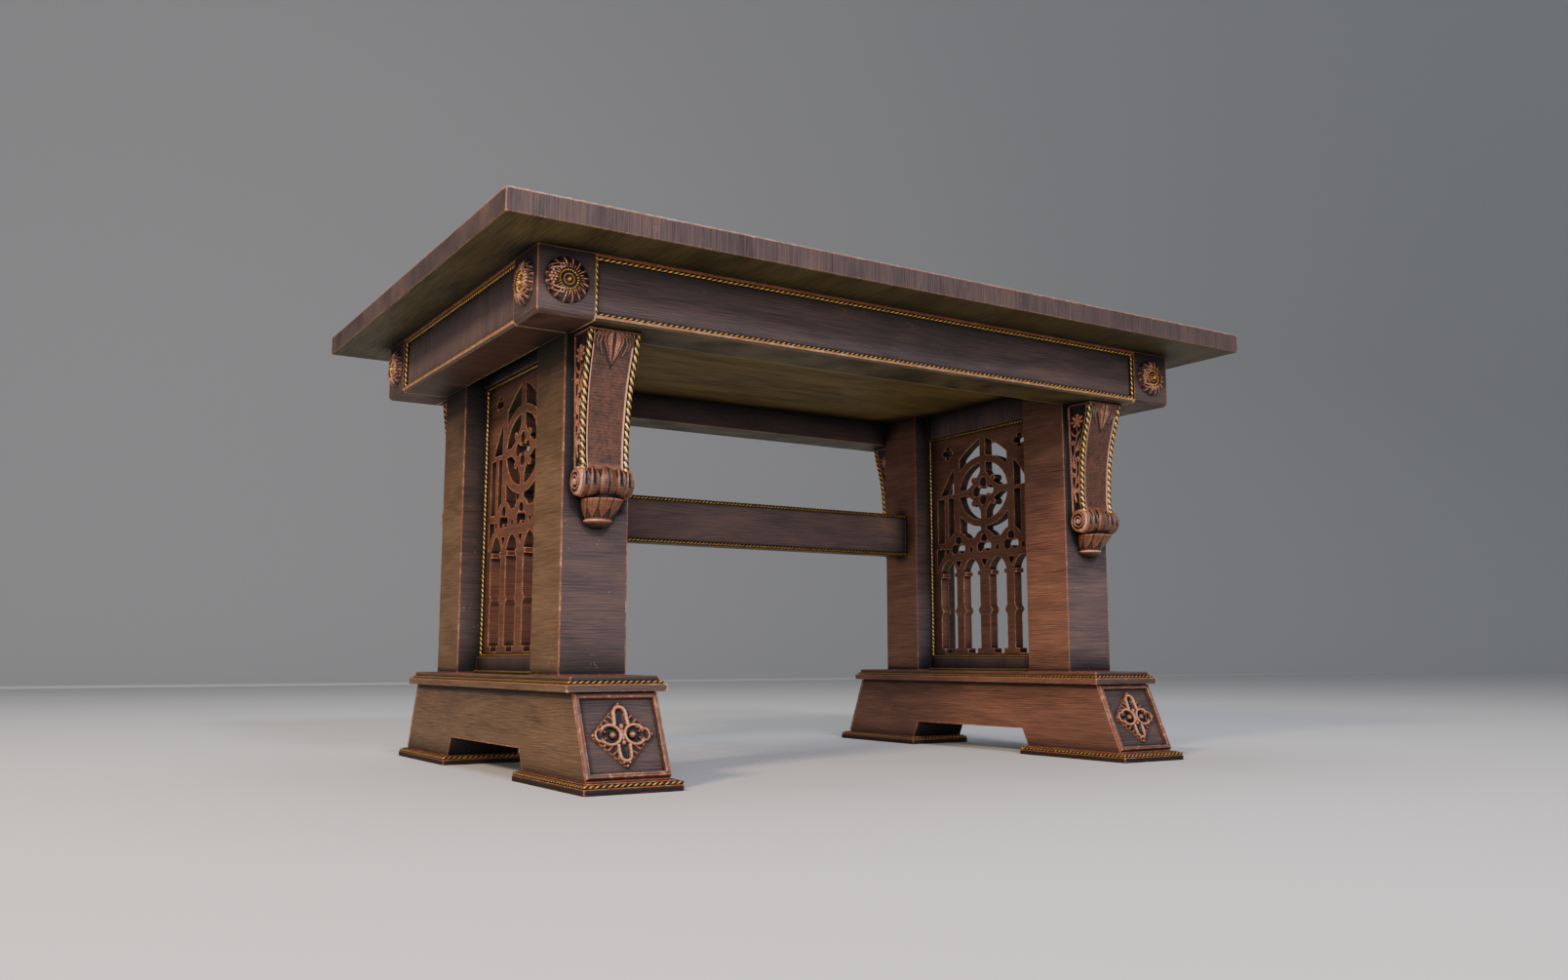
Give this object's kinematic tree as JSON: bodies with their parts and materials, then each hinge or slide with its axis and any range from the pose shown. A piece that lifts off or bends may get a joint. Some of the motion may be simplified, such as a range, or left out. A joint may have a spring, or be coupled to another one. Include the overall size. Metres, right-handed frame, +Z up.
{
  "type": "communion table",
  "caption": "Carved wooden communion table with an overhanging slab top, rope-edged frieze, scrolled leg brackets, pierced Gothic end panels and battered sledge feet.",
  "frame": {"origin": "on the floor, under the middle of the top", "axes": "+X along the table's length, -Y towards the front (the side without a stretcher), +Z up"},
  "size_m": [1.468, 0.954, 0.805],
  "materials": {
    "dark_wood": "satin, worn arrises",
    "carved_wood": "satin, rubbed to copper brown on the high points",
    "plain_wood": "satin",
    "gilt_rope": "gilt strands over black",
    "beech": "unfinished",
    "steel": "zinc plated"
  },
  "bodies": {
    "root": {"base_plate_left": "dark_wood", "base_plate_right": "dark_wood", "base_plate_rope_beads": "gilt_rope", "bracket_back_left": "carved_wood", "bracket_back_right": "carved_wood", "bracket_dowels": "beech", "bracket_drop_back_left": "carved_wood", "bracket_drop_back_right": "carved_wood", "bracket_drop_front_left": "carved_wood", "bracket_drop_front_right": "carved_wood", "bracket_front_left": "carved_wood", "bracket_front_right": "carved_wood", "bracket_rope_beads": "gilt_rope", "corner_block_back_left": "dark_wood", "corner_block_back_right": "dark_wood", "corner_block_front_left": "dark_wood", "corner_block_front_right": "dark_wood", "diamond_ornament_back_left": "carved_wood", "diamond_ornament_back_right": "carved_wood", "diamond_ornament_front_left": "carved_wood", "diamond_ornament_front_right": "carved_wood", "end_panel_frame_back_left": "carved_wood", "end_panel_frame_back_right": "carved_wood", "end_panel_frame_front_left": "carved_wood", "end_panel_frame_front_right": "carved_wood", "foot_pad_back_left": "dark_wood", "foot_pad_back_right": "dark_wood", "foot_pad_front_left": "dark_wood", "foot_pad_front_right": "dark_wood", "foot_pad_rope_beads": "gilt_rope", "frieze_beam_back": "dark_wood", "frieze_beam_front": "dark_wood", "frieze_beam_left": "dark_wood", "frieze_beam_right": "dark_wood", "frieze_rope_beads": "gilt_rope", "leg_back_left": "dark_wood", "leg_back_right": "dark_wood", "leg_front_left": "dark_wood", "leg_front_right": "dark_wood", "rosettes_back": "carved_wood", "rosettes_front": "carved_wood", "rosettes_left": "carved_wood", "rosettes_right": "carved_wood", "sledge_left": "dark_wood", "sledge_right": "dark_wood", "soffit_panel": "plain_wood", "stretcher": "dark_wood", "stretcher_pegs": "beech", "stretcher_rope_beads": "gilt_rope", "top_cleats": "plain_wood", "top_fixing_screws": "steel", "top_rope_bead": "gilt_rope", "top_slab": "dark_wood", "tracery_bottom_rail_left": "dark_wood", "tracery_bottom_rail_right": "dark_wood", "tracery_panel_left": "dark_wood", "tracery_panel_right": "dark_wood", "tracery_rope_beads": "gilt_rope", "tracery_top_rail_left": "dark_wood", "tracery_top_rail_right": "dark_wood"}
  },
  "joints": []
}
